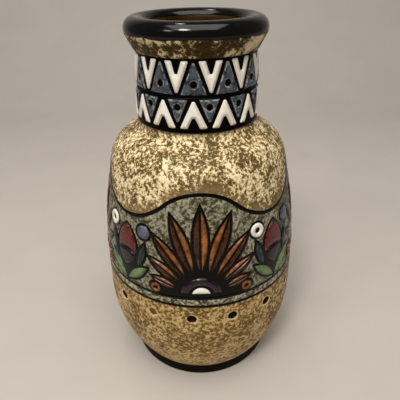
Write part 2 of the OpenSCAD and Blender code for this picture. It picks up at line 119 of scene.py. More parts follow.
# %% Selecting, drawing and spinning
def only(piece):
    """Leaves one piece selected and active, in object mode."""
    if bpy.context.mode != "OBJECT":
        bpy.ops.object.mode_set(mode="OBJECT")
    bpy.ops.object.select_all(action="DESELECT")
    if piece:
        piece.select_set(True)
        bpy.context.view_layer.objects.active = piece


def edit(piece):
    """Opens a piece in edit mode with everything selected."""
    only(piece)
    bpy.ops.object.mode_set(mode="EDIT")
    bpy.ops.mesh.select_all(action="SELECT")


def merged(pieces):
    """Pieces joined into the first of them."""
    only(pieces[0])
    for piece in pieces:
        piece.select_set(True)
    bpy.ops.object.join()
    return pieces[0]


def drawn_loop(name, points, inside="NOTHING"):
    """A circle primitive with its vertices moved on to an outline."""
    only(None)
    bpy.ops.mesh.primitive_circle_add(vertices=len(points), radius=0.01, fill_type=inside)
    piece = bpy.context.object
    piece.name = name
    for vertex, point in zip(piece.data.vertices, points):
        vertex.co = point
    return piece


def smoothed(piece, angle=40):
    """Smooths all but the sharp edges."""
    only(piece)
    bpy.ops.object.shade_smooth_by_angle(angle=math.radians(angle))
    return piece


def tidy_solid(piece, angle=40):
    """Merges doubles, turns faces outwards and smooths all but the sharp edges."""
    edit(piece)
    bpy.ops.mesh.remove_doubles(threshold=2e-7)
    bpy.ops.mesh.dissolve_degenerate(threshold=1e-6)
    bpy.ops.mesh.normals_make_consistent(inside=False)
    return smoothed(piece, angle)


def spun(name, section, steps=256, axis=(0, 0, 1), open_ends=False):
    """A section of (radius, height) points spun once round an axis through the origin."""
    loop = drawn_loop(name, [(r, 0, z) if axis[2] else (r, z, 0) for r, z in section])
    edit(loop)
    if open_ends:
        bpy.ops.mesh.select_all(action="DESELECT")
        only(loop)
        for edge in loop.data.edges:
            edge.select = set(edge.vertices) == {0, len(section) - 1}
        bpy.ops.object.mode_set(mode="EDIT")
        bpy.ops.mesh.select_mode(type="EDGE")
        bpy.ops.mesh.delete(type="EDGE")
        bpy.ops.mesh.select_mode(type="VERT")
        edit(loop)
    bpy.ops.mesh.spin(steps=steps, angle=2 * math.pi, center=(0, 0, 0), axis=axis)
    return tidy_solid(loop)


print("spin and outline helpers ready")

# %% [markdown]
# A finish is built from nodes on Object coordinates, so it stays put on the piece and needs no picture.
# Colours are noted as they look on the vase, from 0 to 255, and turned into Blender's linear values.
# The grid of the noise is turned well away from upright, so that it leaves no lines on the wall.

# %% Helpers for finishes
NOISE_TURN = (0.45, 0.45, 0.27)


def tint(red, green, blue):
    """A colour as the eye sees it, turned into linear values."""
    parts = [c / 255 for c in (red, green, blue)]
    return tuple(c / 12.92 if c < 0.04 else ((c + 0.055) / 1.055) ** 2.4 for c in parts) + (1.0,)


def fill(node, sockets):
    """Links or sets the sockets of a node."""
    for key, value in sockets.items():
        if isinstance(value, bpy.types.NodeSocket):
            node.id_data.links.new(value, node.inputs[key])
        else:
            node.inputs[key].default_value = value


def wired(kind, sockets, **settings):
    """The outputs of a new node, made in the tree of the first socket that feeds it."""
    tree = next(v for v in sockets.values() if isinstance(v, bpy.types.NodeSocket)).id_data
    made = tree.nodes.new("ShaderNode" + kind)
    for key, value in settings.items():
        setattr(made, key, value)
    fill(made, sockets)
    return made.outputs


def new_finish(name):
    """A material with its shader and its Object coordinates."""
    finish = bpy.data.materials.new(name)
    finish.use_nodes = True
    nodes = finish.node_tree.nodes
    return finish, nodes["Principled BSDF"], nodes.new("ShaderNodeTexCoord").outputs["Object"]


def marked(spot, name):
    """The value of an attribute of the mesh."""
    made = spot.id_data.nodes.new("ShaderNodeAttribute")
    made.attribute_name = name
    return made.outputs["Fac"]


def noise(spot, size, detail=3.0, rough=0.55):
    """Noise with marks of about a size in millimetres."""
    turned = wired("Mapping", {"Vector": spot, "Rotation": NOISE_TURN})[0]
    sockets = {"Vector": turned, "Scale": 1000 / size, "Detail": detail, "Roughness": rough}
    return wired("TexNoise", sockets)[0]


def maths(operation, *values):
    """A Math node on sockets or numbers."""
    return wired("Math", dict(enumerate(values)), operation=operation)[0]


def ramp(value, stops):
    """A value turned into colours through a ramp of places and colours."""
    made = wired("ValToRGB", {0: value})[0]
    elements = made.node.color_ramp.elements
    for element, (place, colour) in zip(elements, (stops[0], stops[-1])):
        element.position = place
        element.color = tint(*colour)
    for place, colour in stops[1:-1]:
        elements.new(place).color = tint(*colour)
    return made


def stretched(value, start, end, low=0.0, high=1.0, kind="LINEAR"):
    """A value stretched from start and end to low and high, and kept between them."""
    sockets = {"Value": value, "From Min": start, "From Max": end, "To Min": low, "To Max": high}
    return wired("MapRange", sockets, interpolation_type=kind)[0]


def eased(value, start, end):
    """A value eased from nought at start to one at end."""
    return stretched(value, start, end, kind="SMOOTHSTEP")


def band(value, rise_start, rise_end, fall_start, fall_end):
    """One between a rise and a fall, with eased edges, and nought outside."""
    return maths("SUBTRACT", eased(value, rise_start, rise_end), eased(value, fall_start, fall_end))


def mixed(share, first, second):
    """Two colours mixed by a share."""
    return wired("Mix", {0: share, 6: first, 7: second}, data_type="RGBA")[2]


def dress(shader, colour, rough, shine, height, depth=1.0, strength=1.0):
    """Gives a shader its colour, roughness, shine and relief, with its depth in millimetres."""
    relief = wired("Bump", {"Height": height, "Distance": depth * MM, "Strength": strength})[0]
    fill(shader, {"Base Color": colour, "Roughness": rough, "Specular IOR Level": shine, "Normal": relief})


print("finish helpers ready")

# %% [markdown]
# The glaze isn't the same all over. It is paler or darker with height, gathers in a few places, and on the
# belly it crawled into small islands with brown seams between them, which the edges of a Voronoi pattern
# give. Round each pit of the belly it drew back and left a pale lip. Each of these becomes one value.

# %% Where the glaze changes
PIT = 3.0
PIT_R = PIT * MM
PIT_Z = 68.5 * MM
PIT_TURN = -5.4
PIT_COUNT = 16


def height_share(spot, low, high, start, end):
    """A value that goes from start at one height to end at another, heights in millimetres."""
    return stretched(wired("SeparateXYZ", {0: spot})["Z"], low * MM, high * MM, start, end)


def spot_share(spot, place, radius, strength):
    """A value that fades from strength at a place to nothing at a radius, all in millimetres."""
    far = wired("VectorMath", {0: spot, 1: [c * MM for c in place]}, operation="DISTANCE")["Value"]
    return stretched(far, 0.25 * radius * MM, radius * MM, strength, 0.0)


def islands(spot, size):
    """Distance from the seams between small islands of glaze, with shaken outlines."""
    shake = wired("TexNoise", {"Vector": spot, "Scale": 1000 / size, "Detail": 2.0})["Color"]
    reach = [0.9 * size * MM] * 3
    shaken = wired("VectorMath", {0: shake, 1: reach, 2: spot}, operation="MULTIPLY_ADD")[0]
    sockets = {"Vector": shaken, "Scale": 1000 / size}
    return wired("TexVoronoi", sockets, feature="DISTANCE_TO_EDGE")["Distance"]


def pit_lips(spot):
    """A value that is one on the lip of every pit, less than nought inside it and nought outside."""
    parts = wired("SeparateXYZ", {0: spot})
    around = maths("ARCTAN2", parts["X"], maths("MULTIPLY", parts["Y"], -1.0))
    pitch = 2 * math.pi / PIT_COUNT
    place = maths("SUBTRACT", around, math.radians(PIT_TURN) - pitch / 2)
    place = maths("FLOORED_MODULO", place, pitch)
    across = maths("MULTIPLY", maths("SUBTRACT", place, pitch / 2), BELLY_R)
    up = maths("SUBTRACT", parts["Z"], PIT_Z)
    far = maths("SQRT", maths("MULTIPLY_ADD", across, across, maths("MULTIPLY", up, up)))
    lip = band(far, PIT_R - 0.5 * MM, PIT_R, PIT_R + 0.4 * MM, PIT_R + 1.3 * MM)
    inside = eased(far, PIT_R - 0.3 * MM, PIT_R - 1.2 * MM)
    return maths("MULTIPLY_ADD", inside, -1.8, lip)


print("pits", PIT_COUNT, "of", 2 * PIT, "mm")

# %% [markdown]
# The cream glaze was dabbed on with a sponge over a brown one. It broke into lacy flakes with sharp
# edges, from specks of half a millimetre to patches of five. Noise with several octaves, cut by a steep
# colour ramp, gives such flakes. Broader noises move the cut up and down, so that cream gathers in one
# place and brown shows in another. Named spots put the biggest patches where they are on the vase.
# Shoulder, belly, flare, frieze and strip are the same glaze in other strengths. The flare's colours are
# also darkened by painted shade, as it lies under the overhanging rim.

# %% Sponged glaze
STOPS = (0.34, 0.45, 0.495, 0.515, 0.6)
BARE_TAN = tint(156, 131, 86)
BARE_CHANGE = -0.1
PALE_LIP = 0.14


def sponged_glaze(name, colours, size, cover, patches, gloss, grain=0.72, seams=0.0, climb=None,
                  edge=None, spots=(), pitted=False, shine=0.25):
    """Flakes of pale glaze on dark: five colours, flake size, cover, and patches as (size, strength).

    gloss is the roughness of the pale glaze, grain how broken the flakes are, and seams how strongly
    islands show. climb is (low, high, change at low) for the cover, edge (low, high, colour at high), and
    spots are (place, radius, strength). pitted asks for lips at the pits. shine is the mirror strength."""
    finish, shader, spot = new_finish(name)
    broken = stretched(noise(spot, 7), 0.36, 0.62, 0.2, 1.3)
    bare = maths("MULTIPLY", marked(spot, "bare_band"), broken)
    terms = [(maths("SUBTRACT", noise(spot, patch, 2.0), 0.5), strength) for patch, strength in patches]
    if seams:
        terms.append((maths("SUBTRACT", islands(spot, 1.7 * size), 0.17), seams))
    if climb:
        terms.append((height_share(spot, *climb, 0.0), 1.0))
    terms += [(spot_share(spot, *values), 1.0) for values in spots]
    if pitted:
        terms.append((pit_lips(spot), PALE_LIP))
    terms.append((bare, BARE_CHANGE))
    value = maths("ADD", noise(spot, size, 4.0, grain), cover)
    for term, strength in terms:
        value = maths("MULTIPLY_ADD", term, strength, value)
    colour = mixed(maths("MULTIPLY", bare, 0.5), ramp(value, list(zip(STOPS, colours))), BARE_TAN)
    if edge:
        colour = mixed(height_share(spot, edge[0], edge[1], 0.0, 1.0), colour, tint(*edge[2]))
    rough = stretched(value, 0.4, 0.6, gloss + 0.16, gloss)
    dress(shader, colour, rough, shine, stretched(value, 0.42, 0.6), 0.3, 0.5)
    return finish


shoulder_finish = sponged_glaze(
    "sponged_cream", [(80, 62, 25), (107, 86, 43), (138, 114, 67), (218, 194, 143), (253, 233, 188)],
    1.7, -0.006, [(5.5, 0.32), (15, 0.28)], 0.38, climb=(146, 160, 0.02), edge=(173.2, 175.2, (58, 50, 38)),
    spots=[((-10, -37, 172), 6, 0.08), ((15, -49, 159.5), 7, 0.06), ((3, -50, 160.5), 5, 0.05),
           ((-17, -46, 162), 7, 0.02), ((37, -33, 161), 7, 0.05), ((13, -51, 155), 9, -0.06)])
base_finish = sponged_glaze(
    "sponged_tan", [(98, 73, 24), (122, 94, 40), (146, 115, 58), (184, 153, 96), (214, 184, 128)],
    2.1, 0.002, [(6, 0.2), (16, 0.3)], 0.42, grain=0.7, seams=0.24, climb=(12, 44, 0.06),
    edge=(9.6, 8.3, (62, 34, 18)), pitted=True)
# The flare's dark brown is partly its own glaze and partly painted shade from the overhanging rim.
flare_with_painted_shade = sponged_glaze(
    "sponged_flare_painted_shade", [(49, 35, 4), (72, 55, 15), (94, 73, 27), (158, 137, 91), (220, 202, 160)],
    2.1, -0.07, [(8, 0.5)], 0.36, shine=0.14,
    spots=[((-28, -26, 221), 5, 0.08), ((-23, -30, 221.5), 4.5, 0.28), ((-18, -34, 222), 4, 0.3),
           ((-13, -36, 222), 3.5, 0.26), ((-8, -37.5, 222), 3, 0.2), ((-22, -29, 215.5), 7, -0.1),
           ((-17, -31, 213.5), 4, 0.1), ((-10, -34, 213.5), 4, 0.18), ((-3, -35.5, 213.5), 3.5, 0.12),
           ((26, -27, 217), 7, 0.24), ((32, -21, 219), 7, 0.24), ((18, -32, 214), 4.5, 0.16),
           ((9, -37.5, 222), 2.5, 0.2), ((2, -38, 222), 2, 0.16), ((4, -36, 217), 11, -0.07)])
frieze_finish = sponged_glaze(
    "mottled_grey", [(40, 36, 19), (74, 69, 45), (100, 95, 69), (128, 123, 99), (164, 159, 136)],
    1.9, 0.0, [(9, 0.35)], 0.36)
border_finish = sponged_glaze(
    "mottled_strip", [(40, 36, 16), (80, 75, 47), (110, 104, 74), (152, 146, 117), (194, 188, 160)],
    1.7, 0.0, [(9, 0.4)], 0.36, shine=0.18)
print("sponged glazes made")

# %% [markdown]
# The rim wears a thick black glaze that shines like glass, with faint ripples. On the foot and in the
# outlines it is thinner and only satin. The inside has a dark honey glaze that pools in places, made darker
# still with painted shade, as deep inside the mouth. The standing ring is bare buff clay.


# %% Black, honey and clay
def plain_glaze(name, dark, light, size, gloss, spread, shine, relief, bead=0.0):
    """One coloured glaze with soft tone changes, uneven gloss, faint ripples and a bead along its edge."""
    finish, shader, spot = new_finish(name)
    colour = ramp(noise(spot, size, 4.0, 0.6), [(0.34, dark), (0.68, light)])
    rough = stretched(noise(spot, size * 0.3), 0.35, 0.65, gloss - spread, gloss + spread)
    height = maths("MULTIPLY", noise(spot, size * 0.7, 1.5), relief * 0.3)
    if bead:
        edge = band(marked(spot, "edge_away"), 0.0, 0.8, 0.8, 1.6)
        height = maths("MULTIPLY_ADD", edge, bead, height)
    dress(shader, colour, rough, shine, height)
    return finish


black_gloss = plain_glaze("black_gloss", (3, 3, 3), (9, 8, 7), 9, 0.13, 0.04, 0.32, 0.12)
foot_black = plain_glaze("foot_black", (2, 2, 1), (6, 5, 4), 7, 0.42, 0.06, 0.08, 0.12)
black_satin = plain_glaze("black_satin", (2, 1, 1), (7, 5, 4), 5, 0.22, 0.06, 0.14, 0.1, bead=0.3)
neck_black = plain_glaze("neck_black", (2, 1, 0), (7, 5, 3), 5, 0.4, 0.08, 0.05, 0.12)
pit_dark = plain_glaze("pit_dark", (6, 4, 2), (20, 13, 7), 2.5, 0.5, 0.1, 0.1, 0.1)
# Honey lining: its dark tones are partly the glaze and partly painted shade from deep inside the mouth.
honey_with_painted_shade = plain_glaze("honey_lining_painted_shade", (36, 22, 2), (62, 42, 9), 14, 0.34, 0.08, 0.12, 0.2)
bare_clay = plain_glaze("bare_clay", (176, 142, 104), (206, 174, 134), 3, 0.82, 0.08, 0.3, 0.25)
print("black, honey and clay finishes made")

# %% [markdown]
# The enamels are thick coloured glass, laid on with a brush inside the outlines. Each cell is darker where
# it pools by its edge, paler on its crown, and has small pits. A pale band along its rolled edge is partly
# rubbed, thin enamel and partly a painted highlight for the light that the rolled edges catch. An attribute
# on the mesh, edge_away, holds the distance from the outline in millimetres. The finish reads pooling, the
# pale edge band and the roll of the edge from it, and noise breaks them up.

# %% Enamels
# Deep, light, edge-band tone (rubbed enamel and painted highlight), gloss, edge-band strength, specks.
ENAMELS = {
    "white_enamel": ((235, 228, 212), (250, 245, 233), (252, 249, 240), 0.3, 0.3, 0.12),
    # The slate's strong pale edge band is partly rubbed enamel and partly painted highlight on its rolled
    # edges.
    "slate_enamel": ((31, 36, 41), (79, 88, 97), (170, 174, 174), 0.24, 0.75),
    "disc_slate": ((54, 54, 70), (98, 99, 118), (170, 170, 180), 0.22, 0.4),
    "ochre_enamel": ((92, 48, 13), (168, 103, 43), (200, 150, 92), 0.2, 0.25),
    "rust_enamel": ((34, 13, 3), (80, 37, 11), (124, 78, 44), 0.18, 0.3),
    "purple_enamel": ((11, 7, 11), (38, 26, 37), (76, 64, 72), 0.16, 0.25),
    "red_enamel": ((52, 15, 12), (98, 33, 28), (176, 132, 110), 0.18, 0.35),
    "pale_green_enamel": ((70, 94, 54), (112, 138, 86), (168, 186, 142), 0.24, 0.3),
    "teal_enamel": ((13, 26, 30), (34, 54, 54), (84, 104, 100), 0.2, 0.3)}


def enamel(name, deep, light, worn_and_highlight_tone, gloss, worn_and_highlight_share, pitted=0.45):
    """Enamel from deep and light tones, with an edge band that is partly rubbed, partly painted highlight.
    """
    finish, shader, spot = new_finish(name)
    away = marked(spot, "edge_away")
    pool = noise(spot, 4.5, 4.0, 0.6)
    crown = maths("SUBTRACT", eased(away, 0.2, 2.0), 0.6)
    body = ramp(maths("MULTIPLY_ADD", crown, 0.24, pool), [(0.32, deep), (0.62, light)])
    dark_specks = stretched(noise(spot, 0.9, 2.0), 0.28, 0.36, pitted, 0.0)
    body = mixed(dark_specks, body, [0.45 * c for c in tint(*deep)[:3]] + [1.0])
    broken = stretched(noise(spot, 2.6, 4.0), 0.42, 0.6)
    # The pale edge band: partly rubbed thin enamel, partly a painted highlight along the rolled edge.
    share = maths("MULTIPLY", band(away, 0.1, 0.35, 0.5, 1.1), broken)
    colour = mixed(maths("MULTIPLY", share, worn_and_highlight_share), body, tint(*worn_and_highlight_tone))
    rough = stretched(pool, 0.35, 0.65, gloss - 0.06, gloss + 0.1)
    height = maths("MULTIPLY", eased(away, 0.0, 1.6), 0.4)
    dress(shader, colour, rough, 0.3, maths("MULTIPLY_ADD", pool, 0.12, height))
    return finish


enamels = {name: enamel(name, *values) for name, values in ENAMELS.items()}
print("enamels", len(enamels))

# %% [markdown]
# Each piece made here stands for one node of the CAD model, which then isn't shown. It rides on the vase's
# only body, and its slot names a material of the record, so that a scene can repaint the piece.


# %% Putting a piece in place of its CAD node
def settle(piece, finish, node=None):
    """The piece gets its finish, rides on the vase and stands for a CAD node, as a rule its namesake."""
    node = node or piece.name.split(".")[0]
    piece.data.materials.clear()
    piece.data.materials.append(finish)
    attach(piece, "root")
    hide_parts(node)
    print(node, "faces", len(piece.data.polygons))


# %% [markdown]
# The plain bands come first, with the border of two black lines and a pale strip. Where two glazes meet,
# each coat ends in a soft rounded lip, so a fine seam shows between them. The black lines were trailed on
# more thickly and stand a little proud.

# %% Soft-lipped coats of the border
LIP = 0.25 * MM
BORDER_Z = 77.6 * MM
LINE_H = 1.8 * MM
STRIP_H = 4 * MM
PANEL_Z = BORDER_Z + 2 * LINE_H + STRIP_H


def soft_lip(z, out, lip, way):
    """The two points of a rounded lip at a height, with its coat above it (1) or below it (-1)."""
    return [(wall_r(z, out - lip), z), (wall_r(z, out - 0.3 * lip), z + way * 0.3 * lip)]


def coat_section(low, high, out, lip=LIP, step=2.5 * MM):
    """Closed outline of a coat between two heights, with a rounded lip at both ends."""
    outer = soft_lip(low, out, lip, 1) + wall_line(out, low + lip, high - lip, step)
    outer += soft_lip(high, out, lip, -1)[::-1]
    return wall_line(0, low, high, step) + outer[::-1]


def line_section(low, high):
    """Closed outline of a black line between two heights."""
    return coat_section(low, high, GLAZE + 0.14 * MM, 0.3 * MM, 0.4 * MM)


lines = [spun("border_lines", line_section(z, z + LINE_H)) for z in (BORDER_Z, PANEL_Z - LINE_H)]
settle(merged(lines), black_satin)
strip = spun("border_strip", coat_section(BORDER_Z + LINE_H, PANEL_Z - LINE_H, GLAZE, step=1 * MM))
settle(strip, border_finish)

# %% [markdown]
# The foot is a short flared ring in satin black. It stops a millimetre above the table, as potters wipe
# the standing ring clean so that it does not stick to the kiln shelf. The lower lip is a soft bead.

# %% Foot
FOOT_H = 8 * MM
FOOT_R = wall_r(FOOT_H, 0)
FOOT_FLARE = 1 * MM
BARE_H = 1 * MM


def foot_r(z, out):
    """Radius of the flared foot at a height."""
    return FOOT_R + FOOT_FLARE * (1 - z / FOOT_H) + out


foot_heights = [BARE_H + (FOOT_H - BARE_H) * i / 8 for i in range(9)]
foot_inner = [(foot_r(z, 0), z) for z in foot_heights]
foot_outer = [(foot_r(BARE_H, 0.3 * MM), BARE_H), (foot_r(BARE_H, 0.66 * MM), BARE_H + 0.25 * MM)]
foot_outer += [(foot_r(z, GLAZE), z) for z in foot_heights[1:-1]]
foot_outer += [(foot_r(FOOT_H, 0.7 * MM), FOOT_H - 0.15 * MM), (foot_r(FOOT_H, 0.45 * MM), FOOT_H)]
settle(spun("foot_glaze", foot_inner + foot_outer[::-1]), foot_black)

# %% [markdown]
# A row of pits was pressed into the clay below the border before glazing. The tan coat is spun first.
# Then one cutter with a flared mouth is spun, copied round the vase and taken away with an exact
# Boolean, so each pit has a soft lip. Drilling the coat with plain cylinders would leave hard rims.

# %% Belly coat with its row of pits
PIT_WALL = wall_r(PIT_Z, 0)
pit_turns = [PIT_TURN + 360 / PIT_COUNT * k for k in range(PIT_COUNT)]
pit_cutter = [(0, -2.4), (PIT, -2.4), (PIT, 0.5), (PIT + 0.12, 0.68), (PIT + 0.45, 0.86),
              (PIT + 0.45, 2.8), (0, 2.8)]


def in_mm(pairs):
    """Pairs of millimetres turned into metres."""
    return [(a * MM, b * MM) for a, b in pairs]


def ring_copies(piece, turns):
    """Copies of a piece, each with its own mesh, turned round the axis and joined."""
    copies = []
    for turn in turns:
        copy = piece.copy()
        copy.data = piece.data.copy()
        bpy.context.collection.objects.link(copy)
        copy.data.transform(Matrix.Rotation(math.radians(turn), 4, "Z"))
        copies.append(copy)
    bpy.data.objects.remove(piece)
    return merged(copies)


def front_spin(name, section, steps, z):
    """A section of (radius, distance from the axis) spun about a line to the front at a height."""
    piece = spun(name, section, steps, axis=(0, 1, 0), open_ends=True)
    piece.data.transform(Matrix.Translation((0, 0, z)) @ Matrix.Rotation(math.pi, 4, "Z"))
    return piece


def pit_row(name, section, steps, turns):
    """A section of (radius, distance out from the clay) in millimetres, spun and copied to some pits."""
    made = front_spin(name, [(r, PIT_WALL + d) for r, d in in_mm(section)], steps, PIT_Z)
    return ring_copies(made, turns)


def carved(piece, tool, operation="DIFFERENCE"):
    """Takes a tool away from a piece, or melts it in, with an exact Boolean."""
    only(piece)
    step = piece.modifiers.new("carve", "BOOLEAN")
    step.operation = operation
    step.solver = "EXACT"
    step.object = tool
    bpy.ops.object.modifier_apply(modifier="carve")
    bpy.data.objects.remove(tool)
    return piece


base = spun("base_glaze", coat_section(FOOT_H, BORDER_Z, GLAZE))
carved(base, pit_row("pit_cutter", pit_cutter, 32, pit_turns))
settle(tidy_solid(base), base_finish)

# %% [markdown]
# Dark glaze lies in each pit as a small bowl. In one pit the tan glaze ran in and filled it, so that one
# keeps the tan finish and a shallow floor.

# %% Pit glaze
FILLED_PIT = 15
bowl = [(0, -1.6), (PIT, -1.6), (PIT, 0.42), (PIT - 0.12, 0.46), (PIT - 0.3, 0.1), (PIT - 0.8, -0.7),
        (PIT - 1.6, -1.15), (0, -1.3)]
filled = [(0, -1.6), (PIT, -1.6), (PIT, 0.5), (PIT - 0.2, 0.52), (PIT - 0.7, 0.3), (PIT - 1.5, 0.1),
          (0, 0.04)]
open_turns = [turn for k, turn in enumerate(pit_turns) if k != FILLED_PIT]
settle(pit_row("pit_glaze", bowl, 24, open_turns), pit_dark)
full_bowl = pit_row("pit_glaze_filled", filled, 24, [pit_turns[FILLED_PIT]])
settle(full_bowl, base_finish, "pit_glaze")

# %% [markdown]
# The frieze ends at the top in a wavy black outline, high over each fan and low over each bud. The wave
# is made of equal arcs. Each coat is spun as a plain band up to a middle height, and then its vertices
# are slid up or down the wall to follow the wave. Cutting bands with wavy cutters would also do, but
# sliding keeps the rows of faces whole, so the glaze shades smoothly up to its lip.

# %% Wavy outline
CREST_Z = SHOULDER_Z - 2 * MM
WAVE_RISE = 18 * MM
WAVE_LINE = 2 * MM
WAVE_MID = CREST_Z - WAVE_RISE / 2
REPEATS = 4
wave_half = wall_r(WAVE_MID, GLAZE) * math.sin(math.pi / 2 / REPEATS)
WAVE_R = (wave_half ** 2 + (WAVE_RISE / 2) ** 2) / WAVE_RISE


def wave_z(turn, lift):
    """Height of the wave at an angle round the vase, moved up by lift square to its line."""
    repeat = 2 * math.pi / REPEATS
    place = (turn + repeat / 2) % repeat - repeat / 2
    over_fan = abs(place) <= repeat / 4
    if not over_fan:
        place = (turn % repeat) - repeat / 2
    z = WAVE_MID
    for _ in range(4):
        x = wall_r(z, GLAZE) * math.sin(place)
        if over_fan:
            z = CREST_Z - WAVE_R + math.sqrt((WAVE_R + lift) ** 2 - x * x)
        else:
            z = CREST_Z - WAVE_RISE + WAVE_R - math.sqrt((WAVE_R - lift) ** 2 - x * x)
    return z


def slid(piece, moved):
    """Gives every vertex the radius and height that moved makes of its radius, height and turn."""
    for vertex in piece.data.vertices:
        x, y, z = vertex.co
        r = math.hypot(x, y)
        new_r, new_z = moved(r, z, math.atan2(x, -y))
        vertex.co = (x * new_r / r, y * new_r / r, new_z)
    return smoothed(piece)


def slide_to_wave(piece, low, high, lifts):
    """Slides a band between two heights to two wave lines or fixed heights."""
    def moved(r, z, turn):
        """New radius and height of a vertex, which keeps its distance from the clay."""
        if z > high + 1e-6:
            return r, z
        ends = [wave_z(turn, lift) if kind == "wave" else lift for kind, lift in lifts]
        new_z = ends[0] + (z - low) / (high - low) * (ends[1] - ends[0])
        out = math.hypot(r - UPPER_C[0], z - UPPER_C[1]) - UPPER_ARC
        return wall_r(new_z, out), new_z
    return slid(piece, moved)


line_foot = WAVE_MID - WAVE_LINE
wave_line = spun("wave_line", line_section(line_foot, WAVE_MID))
slide_to_wave(wave_line, line_foot, WAVE_MID, (("wave", -WAVE_LINE), ("wave", 0)))
settle(wave_line, black_satin)
ground = spun("frieze_ground", coat_section(PANEL_Z, line_foot, GLAZE))
slide_to_wave(ground, PANEL_Z, line_foot, (("fixed", PANEL_Z), ("wave", -WAVE_LINE)))
settle(ground, frieze_finish)

# %% [markdown]
# The shoulder coat runs from the wave over the turn of the shoulder and into the hollow under the neck. The
# sponge mostly kept clear of the black line, so a tan band with few flakes runs along it. An attribute
# called bare_band marks that band on the mesh for the finish.

# %% Shoulder coat
BARE_REACH = 6 * MM
shoulder_inner = wall_line(0, WAVE_MID, NECK_Z, 2 * MM)
shoulder_outer = soft_lip(WAVE_MID, GLAZE, LIP, 1) + wall_line(GLAZE, WAVE_MID + LIP, NECK_Z, 1.6 * MM)
shoulder = spun("shoulder_glaze", shoulder_inner + shoulder_outer[::-1])
slide_to_wave(shoulder, WAVE_MID, SHOULDER_Z, (("wave", 0), ("fixed", SHOULDER_Z)))
bare_band = shoulder.data.attributes.new("bare_band", "FLOAT", "POINT")
for vertex, mark in zip(shoulder.data.vertices, bare_band.data):
    above_line = vertex.co.z - wave_z(math.atan2(vertex.co.x, -vertex.co.y), 0)
    mark.value = min(1.0, max(0.0, 1.3 - above_line / BARE_REACH))
settle(shoulder, shoulder_finish)

# %% [markdown]
# The neck tapers a little. Its black ground has a half-round groove between the two rows of cells, and at
# the top it fills the corner under the ledge of the flare. One outline with the groove in it is spun, so
# no groove has to be cut afterwards.

# %% Neck ground with its groove
NECK_TOP_R = 32.7 * MM
NECK_H = 37.8 * MM
NECK_TOP_Z = NECK_Z + NECK_H
GROOVE_H = 2.2 * MM
GROOVE_Z = NECK_Z + NECK_H / 2
FLARE_FOOT_R = NECK_TOP_R + 1.2 * MM


def neck_r(z, out):
    """Radius of the tapered neck at a height."""
    return NECK_R + (NECK_TOP_R - NECK_R) * (z - NECK_Z) / NECK_H + out


groove_c = (neck_r(GROOVE_Z, GLAZE + GROOVE_H / 4), GROOVE_Z)
half_a = math.acos(0.5)
low_heights = [NECK_Z, NECK_Z + 6 * MM, NECK_Z + 12 * MM, GROOVE_Z - 1.4 * MM]
high_heights = [GROOVE_Z + 1.4 * MM, NECK_TOP_Z - 12 * MM, NECK_TOP_Z - 6 * MM, NECK_TOP_Z - 1 * MM]
neck_outer = [(neck_r(z, GLAZE), z) for z in low_heights]
neck_outer += arc(groove_c, GROOVE_H / 2, math.pi + half_a, math.pi - half_a, 0.3 * MM)
neck_outer += [(neck_r(z, GLAZE), z) for z in high_heights]
neck_outer += [(NECK_TOP_R + 0.95 * MM, NECK_TOP_Z - 0.45 * MM), (FLARE_FOOT_R, NECK_TOP_Z - 0.12 * MM),
               (FLARE_FOOT_R + 0.3 * MM, NECK_TOP_Z)]
neck_ground = spun("neck_ground", [(NECK_R, NECK_Z), (NECK_TOP_R, NECK_TOP_Z)] + neck_outer[::-1])
settle(neck_ground, neck_black)

# %% [markdown]
# Above the neck the flare stands out as a small ledge and leans out to the rolled rim. The rim's thick
# black glaze runs over the roll. It was dipped, so its lower edge is uneven. Both coats are spun with a
# straight edge, and then the vertices near that edge are slid round the roll by the same small waves.

# %% Flare and rim
WALL = 5 * MM
ROLL = 5.5 * MM
FLARE_H = 10.6 * MM
RIM_C = (NECK_TOP_R - WALL + ROLL, NECK_TOP_Z + FLARE_H)
RIM_STOP = -math.radians(16)
MOUTH_STOP = math.radians(155)
RAGGED_REACH = 0.45
RIM_WAVES = ((5, 1.0, 0.035), (9, 2.3, 0.04), (17, 0.5, 0.03), (29, 4.0, 0.022))
flare_reach = math.hypot(FLARE_FOOT_R - RIM_C[0], FLARE_H)
FLARE_A = math.atan2(-FLARE_H, FLARE_FOOT_R - RIM_C[0]) + math.acos(ROLL / flare_reach)


def flare_side(out, lip):
    """Outline up the flare and round the roll to where the black glaze starts."""
    foot_rise = -out * math.sin(FLARE_A)
    foot = (FLARE_FOOT_R + out * math.cos(FLARE_A) + foot_rise * math.tan(-FLARE_A), NECK_TOP_Z)
    roll = arc(RIM_C, ROLL + out, FLARE_A, RIM_STOP, 0.5 * MM)
    lean = [roll[0][i] - foot[i] for i in (0, 1)]
    slope = [(foot[0] + lean[0] * t, foot[1] + lean[1] * t) for t in (0.07, 0.2, 0.4, 0.6, 0.8)]
    return [(foot[0] - lip, foot[1]), (foot[0] - 0.3 * lip, foot[1] + 0.3 * lip)] + slope + roll


def ragged(piece):
    """Slides the vertices near the edge of the black glaze round the roll."""
    def moved(r, z, turn):
        """New radius and height of a vertex, which keeps its distance from the middle of the roll."""
        around = math.hypot(r - RIM_C[0], z - RIM_C[1])
        angle = math.atan2(z - RIM_C[1], r - RIM_C[0])
        share = 1 - abs(angle - RIM_STOP) / RAGGED_REACH
        if share <= 0 or z <= NECK_TOP_Z + 2 * MM or around >= ROLL + 2 * GLAZE:
            return r, z
        angle += share * sum(size * math.sin(count * turn + start) for count, start, size in RIM_WAVES)
        return RIM_C[0] + around * math.cos(angle), RIM_C[1] + around * math.sin(angle)
    return slid(piece, moved)


